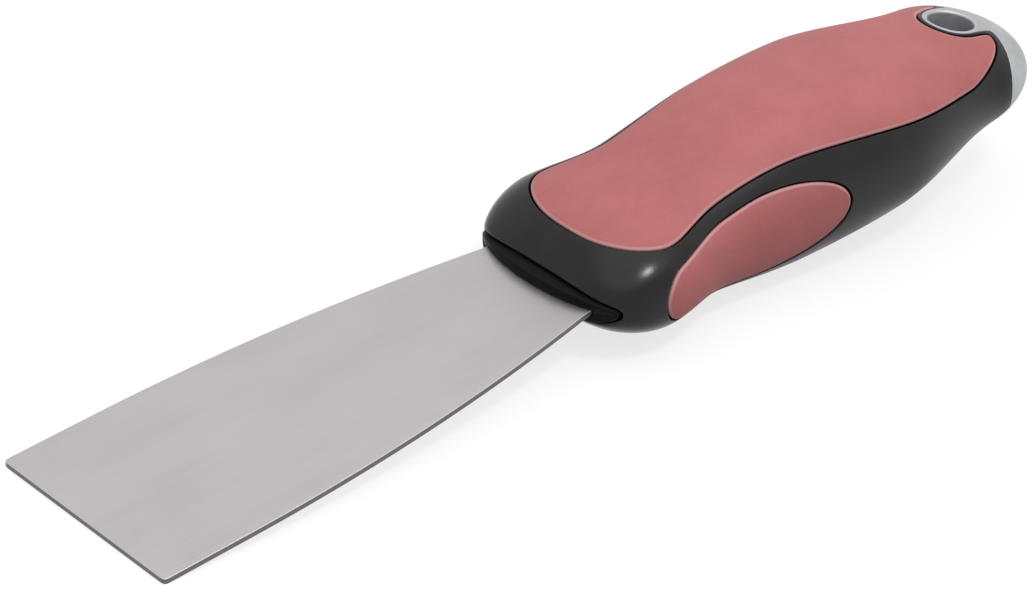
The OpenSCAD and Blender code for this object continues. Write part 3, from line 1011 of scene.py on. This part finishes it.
def blade_finish():
    """Matt ground steel: fine grain along the blade, cloudy polish, bright corners, and painted shade that
    darkens the upright cut sides.
    """
    dark, light = rgba(0.456, 0.434, 0.442), rgba(0.490, 0.467, 0.475)
    polished, corner, side_painted_shade = rgba(0.522, 0.500, 0.508), rgba(0.60, 0.58, 0.58), rgba(0.10, 0.096, 0.096)
    steel = Finish("ground_steel", Metallic=1.0)
    grain = steel.noise((14.0, 0.12, 0.12), detail=4)
    clouds = steel.noise((26.0, 14.0, 14.0))
    pits = steel.noise((0.5, 0.35, 0.5), detail=2)
    tone = steel.mix(steel.spread(grain, 0, 1), dark, light)
    tone = steel.mix(steel.spread(clouds, 0, 0.35), tone, polished)
    tone = steel.mix(steel.edge(0.5), tone, corner)
    # Painted shade: the upright cut sides are darkened as if they lay in shadow
    tone = steel.mix(steel.spread(steel.flatness(), 0.85, 0, start=0.2, end=0.7), tone, side_painted_shade)
    rough = steel.math("ADD", steel.spread(grain, 0.42, 0.47), steel.spread(clouds, -0.02, 0.03))
    relief = steel.bump(grain, depth=0.006)
    steel.set(Base_Color=tone, Roughness=rough, Normal=steel.bump(pits, depth=0.004, under=relief))
    return steel.material


def shell_finish():
    """Moulded black plastic: glossy at the nose, satin on the grip, with a fine texture and dull scuffs."""
    dark, light, scuffed = rgba(0.006, 0.006, 0.007), rgba(0.010, 0.010, 0.012), rgba(0.055, 0.052, 0.052)
    plastic = Finish("moulded_black", Specular_IOR_Level=0.28)
    clouds = plastic.noise((9.0, 9.0, 9.0))
    spark = plastic.noise((0.28, 0.28, 0.28), detail=2)
    scuffs = plastic.noise((5.0, 0.8, 0.8), detail=5)
    nose_x, waist_x = NOSE_X * MM, (NOSE_X + WAIST_AT) * MM
    rough = plastic.spread(plastic.axis("X"), 0.15, 0.36, start=nose_x, end=waist_x)
    rough = plastic.math("ADD", rough, plastic.spread(clouds, -0.03, 0.05))
    worn = plastic.edge(plastic.spread(scuffs, 0, 0.5, start=0.45, end=0.7))
    tone = plastic.mix(plastic.spread(clouds, 0, 1), dark, light)
    tone = plastic.mix(worn, tone, scuffed)
    plastic.set(Base_Color=tone, Roughness=rough, Normal=plastic.bump(spark, depth=0.010, strength=0.6))
    return plastic.material


def core_finish():
    """Hard black plastic with a dull moulded face."""
    dark, light = rgba(0.003, 0.003, 0.003), rgba(0.006, 0.006, 0.007)
    plastic = Finish("hard_black", Specular_IOR_Level=0.08)
    clouds = plastic.noise((4.0, 4.0, 4.0))
    spark = plastic.noise((0.2, 0.2, 0.2), detail=2)
    rough = plastic.spread(clouds, 0.42, 0.55)
    tone = plastic.mix(clouds, dark, light)
    plastic.set(Base_Color=tone, Roughness=rough, Normal=plastic.bump(spark, depth=0.012))
    return plastic.material


def pad_finish():
    """Soft dusty red rubber: a fine dull grain, faint clouds and a painted highlight that makes the rolled
    edges paler.
    """
    dark, light = rgba(0.405, 0.121, 0.121), rgba(0.45, 0.142, 0.140)
    speck, rim_painted_highlight = rgba(0.49, 0.175, 0.17), rgba(0.62, 0.38, 0.37)
    rubber = Finish("soft_red", Specular_IOR_Level=0.32)
    clouds = rubber.noise((11.0, 8.0, 8.0))
    grain = rubber.noise((0.32, 0.32, 0.32), detail=3)
    specks = rubber.noise((1.1, 1.1, 1.1), detail=4)
    tone = rubber.mix(rubber.spread(clouds, 0, 1), dark, light)
    tone = rubber.mix(rubber.spread(specks, 0, 0.25, start=0.5, end=0.75), tone, speck)
    # Painted highlight: the rolled edges are made paler, as if they caught the light
    tone = rubber.mix(rubber.edge(0.7), tone, rim_painted_highlight)
    rough = rubber.math("ADD", rubber.spread(grain, 0.56, 0.68), rubber.spread(clouds, -0.03, 0.03))
    relief = rubber.bump(grain, depth=0.022, strength=0.7)
    relief = rubber.bump(specks, depth=0.015, strength=0.5, under=relief)
    rubber.set(Base_Color=tone, Roughness=rough, Normal=relief)
    return rubber.material


def cap_finish():
    """Dull satin cast metal: a fine blasted grain, faint clouds and paler edges."""
    dark, light, corner = rgba(0.415, 0.427, 0.436), rgba(0.490, 0.500, 0.508), rgba(0.66, 0.67, 0.68)
    metal = Finish("satin_cast", Metallic=1.0)
    clouds = metal.noise((5.0, 5.0, 5.0))
    grain = metal.noise((0.22, 0.22, 0.22), detail=3)
    tone = metal.mix(metal.spread(clouds, 0, 1), dark, light)
    tone = metal.mix(metal.edge(0.25), tone, corner)
    rough = metal.math("ADD", metal.spread(clouds, 0.54, 0.62), metal.spread(grain, -0.03, 0.03))
    metal.set(Base_Color=tone, Roughness=rough, Normal=metal.bump(grain, depth=0.012, strength=0.7))
    return metal.material


def fastener_finish():
    """Turned steel of the rivets and the pin inside the handle."""
    dark, light = rgba(0.42, 0.42, 0.43), rgba(0.56, 0.56, 0.56)
    steel = Finish("turned_steel", Metallic=1.0)
    rings = steel.noise((3.0, 3.0, 0.15))
    rough = steel.spread(rings, 0.28, 0.42)
    tone = steel.mix(rings, dark, light)
    steel.set(Base_Color=tone, Roughness=rough, Normal=steel.bump(rings, depth=0.01))
    return steel.material


def dress(piece, material, slot, *nodes):
    """Gives a piece its finish and its place in the part."""
    piece.data.materials.clear()
    piece.data.materials.append(material)
    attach(piece, "root")
    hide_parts(*nodes)


red = pad_finish()
black = core_finish()
turned_steel = fastener_finish()
core_top, core_bottom = make_core()
lower_pad = make_pad("pad_lower", upper_line, PAD_CENTRE, ACROSS, flip=UP)
dress(make_blade(), blade_finish(), "blade_steel", "blade")
dress(make_shell(), shell_finish(), "grip_black", "grip_shell")
dress(make_pad("pad_upper", upper_line, PAD_CENTRE, ACROSS), red, "pad_red", "upper_pad")
dress(lower_pad, red, "pad_red", "lower_pad")
dress(make_pad("pad_left", side_line, SIDE_CENTRE, UP), red, "pad_red", "left_pad")
dress(make_pad("pad_right", side_line, SIDE_CENTRE, UP, flip=ACROSS), red, "pad_red", "right_pad")
dress(make_cap(), cap_finish(), "cap_metal", "butt_cap")
dress(core_top, black, "core_black", "core_upper")
dress(core_bottom, black, "core_black", "core_lower")
for name in ("core_rivets", "cap_pin"):
    frame["nodes"][name].material_slots[0].material = turned_steel


# The table, the light and the camera

def points_of(piece):
    """A mesh's points as an array, in metres."""
    flat = np.zeros(3 * len(piece.data.vertices))
    piece.data.vertices.foreach_get("co", flat)
    return flat.reshape(-1, 3)


def make_table():
    """A large plane under the tool, tilted so that the blade's tip and the belly touch it."""
    tip = cad_low.x
    tip_z = (MID_Z - BLADE_T / 2) * MM
    belly = points_of(lower_pad)
    slope = np.min((belly[:, 2] - tip_z) / (belly[:, 0] - tip))
    reach = 4.0
    square = ((-reach, -reach), (reach, -reach), (reach, reach), (-reach, reach))
    corners = [(x, y, tip_z + slope * (x - tip)) for x, y in square]
    mesh = bpy.data.meshes.new("table")
    mesh.from_pydata(corners, [], [(0, 1, 2, 3)])
    table = add_object("table", mesh)
    return table


def seen_share(tree):
    """1 for rays that the camera, a gloss or a clear material sends, and 0 for those that only light."""
    path = tree.nodes.new("ShaderNodeLightPath")
    share = path.outputs["Is Camera Ray"]
    for ray in ("Is Glossy Ray", "Is Transmission Ray"):
        larger = tree.nodes.new("ShaderNodeMath")
        larger.operation = "MAXIMUM"
        tree.links.new(share, larger.inputs[0])
        tree.links.new(path.outputs[ray], larger.inputs[1])
        share = larger.outputs["Value"]
    return share


def table_finish():
    """Matt paper that looks white to the rays that see it, and keeps the tool's shadow."""
    dark, light = rgba(0.25, 0.25, 0.25), rgba(0.27, 0.27, 0.27)
    paper = Finish("pale_paper", Roughness=0.9, Specular_IOR_Level=0.0)
    fibres = paper.noise((1.5, 1.5, 1.5))
    tone = paper.mix(fibres, dark, light)
    glow = paper.spread(seen_share(paper.tree), 0, TABLE_GLOW, start=0, end=1)
    paper.shader.inputs["Emission Color"].default_value = rgba(1, 1, 1)
    paper.set(Base_Color=tone, Emission_Strength=glow)
    return paper.material


def light_scene():
    """A soft white room, a wide lamp overhead and a small one that shows as the nose's highlight."""
    world = bpy.data.worlds.new("studio")
    bpy.context.scene.world = world
    world.use_nodes = True
    tree = world.node_tree
    background = tree.nodes["Background"]
    background.inputs["Color"].default_value = rgba(1, 1, 1)
    level = tree.nodes.new("ShaderNodeMapRange")
    tree.links.new(seen_share(tree), level.inputs["Value"])
    level.inputs["To Min"].default_value = ROOM_LIGHT
    level.inputs["To Max"].default_value = 1.0
    tree.links.new(level.outputs["Result"], background.inputs["Strength"])
    for name, way, distance, size, power in LAMPS:
        lamp = bpy.data.lights.new(name, "AREA")
        lamp.shape = "DISK"
        lamp.size = size
        lamp.energy = power
        holder = add_object(name, lamp)
        way = Vector(way).normalized()
        holder.location = Vector((0, 0, MID_Z * MM)) + way * distance
        holder.rotation_euler = way.to_track_quat("Z", "Y").to_euler()


def place_camera():
    """The camera at the photograph's viewing angle."""
    lens = bpy.data.cameras.new("camera")
    lens.sensor_width = SENSOR
    lens.lens = SENSOR * FOCAL_PIXELS / PHOTO_W
    camera = add_object("camera", lens)
    bpy.context.scene.camera = camera
    azimuth, elevation = math.radians(CAMERA_AZIMUTH), math.radians(CAMERA_ELEVATION)
    level = Vector((math.sin(azimuth), -math.cos(azimuth), 0))
    back = level * math.cos(elevation) + Vector((0, 0, math.sin(elevation)))
    turn = (-back).to_track_quat("-Z", "Y")
    aim = turn @ Vector((AIM_RIGHT, AIM_UP, 0)) + Vector((CAMERA_AIM_X, 0, MID_Z))
    camera.location = (aim + back * CAMERA_DISTANCE) * MM
    camera.rotation_mode = "QUATERNION"
    camera.rotation_quaternion = turn


table = make_table()
table.data.materials.append(table_finish())
light_scene()
place_camera()
bpy.context.scene.view_settings.view_transform = "Standard"
